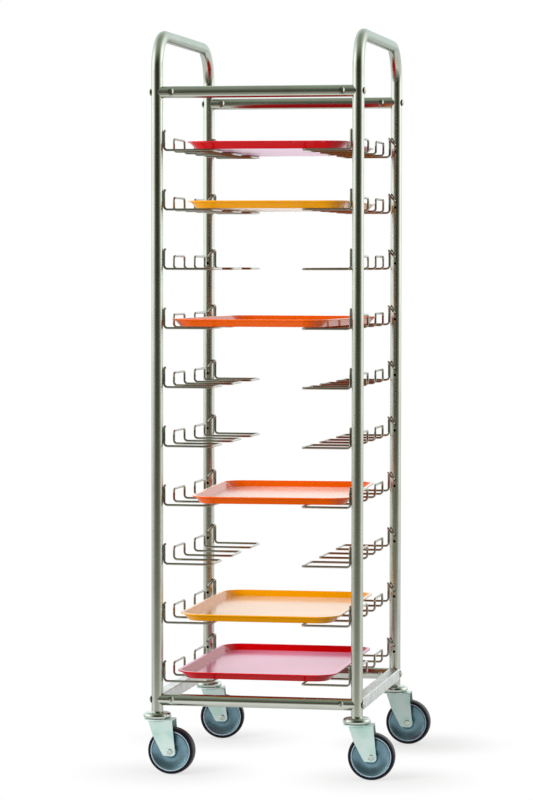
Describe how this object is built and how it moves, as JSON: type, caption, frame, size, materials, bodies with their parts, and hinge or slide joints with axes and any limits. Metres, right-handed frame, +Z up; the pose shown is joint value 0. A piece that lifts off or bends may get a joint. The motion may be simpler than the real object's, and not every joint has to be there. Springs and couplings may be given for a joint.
{
  "type": "tray return trolley",
  "caption": "Tall open trolley of bent tube side frames on swivel castors, with bent wire supports that hold trays in tiers between the uprights.",
  "frame": {"origin": "on the floor, midway between the axes of the four uprights", "axes": "+Z up; +X to the right and +Y to the rear for someone who stands at the front and slides a tray in; trays slide along Y"},
  "size_m": [0.5416, 0.5817, 1.578],
  "materials": {
    "tube": "polished stainless",
    "rail": "satin stainless",
    "wire": "polished stainless",
    "fastener": "bright zinc",
    "castor_steel": "zinc plated",
    "wheel_core": "moulded",
    "tyre": "moulded",
    "tray_red": "glossy",
    "tray_amber": "glossy",
    "tray_orange": "glossy"
  },
  "bodies": {
    "frame": {"left_hoop": "tube", "right_hoop": "tube", "left_rail": "rail", "right_rail": "rail", "crossbar_top_front": "tube", "crossbar_top_rear": "tube", "crossbar_bottom_front": "tube", "crossbar_bottom_rear": "tube", "crossbar_screws": "fastener", "barrel_nuts": "fastener", "support_left_01": "wire", "support_right_01": "wire", "support_left_02": "wire", "support_right_02": "wire", "support_left_03": "wire", "support_right_03": "wire", "support_left_04": "wire", "support_right_04": "wire", "support_left_05": "wire", "support_right_05": "wire", "support_left_06": "wire", "support_right_06": "wire", "support_left_07": "wire", "support_right_07": "wire", "support_left_08": "wire", "support_right_08": "wire", "support_left_09": "wire", "support_right_09": "wire", "support_left_10": "wire", "support_right_10": "wire", "castor_front_left_head": "castor_steel", "castor_front_right_head": "castor_steel", "castor_rear_left_head": "castor_steel", "castor_rear_right_head": "castor_steel"},
    "tray_01": {"tray_01": "tray_red"},
    "tray_02": {"tray_02": "tray_amber"},
    "tray_04": {"tray_04": "tray_orange"},
    "tray_07": {"tray_07": "tray_orange"},
    "tray_09": {"tray_09": "tray_amber"},
    "tray_10": {"tray_10": "tray_red"},
    "castor_front_left_fork": {"castor_front_left_fork": "castor_steel", "castor_front_left_axle": "fastener"},
    "castor_front_left_wheel": {"castor_front_left_wheel": "wheel_core", "castor_front_left_tyre": "tyre"},
    "castor_front_right_fork": {"castor_front_right_fork": "castor_steel", "castor_front_right_axle": "fastener"},
    "castor_front_right_wheel": {"castor_front_right_wheel": "wheel_core", "castor_front_right_tyre": "tyre"},
    "castor_rear_left_fork": {"castor_rear_left_fork": "castor_steel", "castor_rear_left_axle": "fastener"},
    "castor_rear_left_wheel": {"castor_rear_left_wheel": "wheel_core", "castor_rear_left_tyre": "tyre"},
    "castor_rear_right_fork": {"castor_rear_right_fork": "castor_steel", "castor_rear_right_axle": "fastener"},
    "castor_rear_right_wheel": {"castor_rear_right_wheel": "wheel_core", "castor_rear_right_tyre": "tyre"}
  },
  "joints": [
    {"name": "tray_01_slide", "type": "slide", "parent": "frame", "child": "tray_01", "axis": [0, -1, 0], "range_m": [0, 0.55]},
    {"name": "tray_02_slide", "type": "slide", "parent": "frame", "child": "tray_02", "axis": [0, -1, 0], "range_m": [0, 0.55]},
    {"name": "tray_04_slide", "type": "slide", "parent": "frame", "child": "tray_04", "axis": [0, -1, 0], "range_m": [0, 0.55]},
    {"name": "tray_07_slide", "type": "slide", "parent": "frame", "child": "tray_07", "axis": [0, -1, 0], "range_m": [0, 0.55]},
    {"name": "tray_09_slide", "type": "slide", "parent": "frame", "child": "tray_09", "axis": [0, -1, 0], "range_m": [0, 0.55]},
    {"name": "tray_10_slide", "type": "slide", "parent": "frame", "child": "tray_10", "axis": [0, -1, 0], "range_m": [0, 0.55]},
    {"name": "castor_front_left_swivel", "type": "hinge", "parent": "frame", "child": "castor_front_left_fork", "pos_m": [-0.215, -0.26, 0.1155], "axis": [0, 0, 1], "continuous": true},
    {"name": "castor_front_left_roll", "type": "hinge", "parent": "castor_front_left_fork", "child": "castor_front_left_wheel", "pos_m": [-0.1835, -0.26055, 0.05], "axis": [0.0175, 0.9998, 0], "continuous": true},
    {"name": "castor_front_right_swivel", "type": "hinge", "parent": "frame", "child": "castor_front_right_fork", "pos_m": [0.215, -0.26, 0.1155], "axis": [0, 0, 1], "continuous": true},
    {"name": "castor_front_right_roll", "type": "hinge", "parent": "castor_front_right_fork", "child": "castor_front_right_wheel", "pos_m": [0.24644, -0.25808, 0.05], "axis": [-0.061, 0.9981, 0], "continuous": true},
    {"name": "castor_rear_left_swivel", "type": "hinge", "parent": "frame", "child": "castor_rear_left_fork", "pos_m": [-0.215, 0.26, 0.1155], "axis": [0, 0, 1], "continuous": true},
    {"name": "castor_rear_left_roll", "type": "hinge", "parent": "castor_rear_left_fork", "child": "castor_rear_left_wheel", "pos_m": [-0.18381, 0.26438, 0.05], "axis": [-0.1392, 0.9903, 0], "continuous": true},
    {"name": "castor_rear_right_swivel", "type": "hinge", "parent": "frame", "child": "castor_rear_right_fork", "pos_m": [0.215, 0.26, 0.1155], "axis": [0, 0, 1], "continuous": true},
    {"name": "castor_rear_right_roll", "type": "hinge", "parent": "castor_rear_right_fork", "child": "castor_rear_right_wheel", "pos_m": [0.2465, 0.26, 0.05], "axis": [0, 1, 0], "continuous": true}
  ]
}
